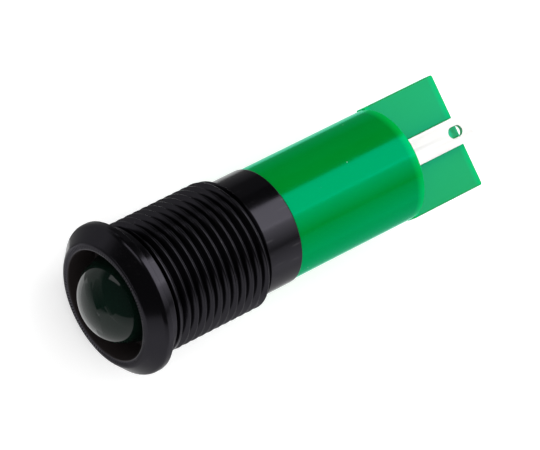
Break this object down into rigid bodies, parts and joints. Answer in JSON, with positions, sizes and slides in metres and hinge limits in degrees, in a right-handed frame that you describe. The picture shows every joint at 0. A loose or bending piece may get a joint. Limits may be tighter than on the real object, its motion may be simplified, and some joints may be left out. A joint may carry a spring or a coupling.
{
  "type": "panel mount indicator light",
  "caption": "Round panel mount indicator light with a domed green LED in a black threaded bezel, a green rear housing, a barrier plate and push-on tabs.",
  "frame": {"origin": "centre of the flange's back face, the face that lies against the panel", "axes": "+Y runs back along the lamp's axis, through the panel and away from the viewer; -Y is the front with the LED; +Z is square to the barrier plate, up"},
  "size_m": [0.0162, 0.0489, 0.016],
  "materials": {
    "black_chrome": "satin",
    "led_epoxy": "gloss",
    "led_leads": "satin",
    "seal_rubber": "matte",
    "ring_plastic": "satin",
    "sleeve_plastic": "satin",
    "board_laminate": "satin",
    "resistor_coat": "satin",
    "part_leads": "satin",
    "diode_case": "satin",
    "solder": "satin",
    "green_housing": "gloss",
    "potting_resin": "satin",
    "tab_metal": "satin"
  },
  "bodies": {
    "root": {"bezel_body": "black_chrome", "led_lens": "led_epoxy", "led_anode_lead": "led_leads", "led_cathode_lead": "led_leads", "led_seal_ring": "seal_rubber", "led_retaining_ring": "ring_plastic", "lead_sleeves": "sleeve_plastic", "circuit_board": "board_laminate", "dropping_resistor": "resistor_coat", "resistor_front_lead": "part_leads", "resistor_rear_lead": "part_leads", "protection_diode": "diode_case", "diode_front_lead": "part_leads", "diode_rear_lead": "part_leads", "led_solder_joints": "solder", "part_solder_joints": "solder", "tab_solder_joints": "solder", "rear_housing": "green_housing", "end_potting": "potting_resin", "tab_upper": "tab_metal", "tab_lower": "tab_metal"}
  },
  "joints": []
}
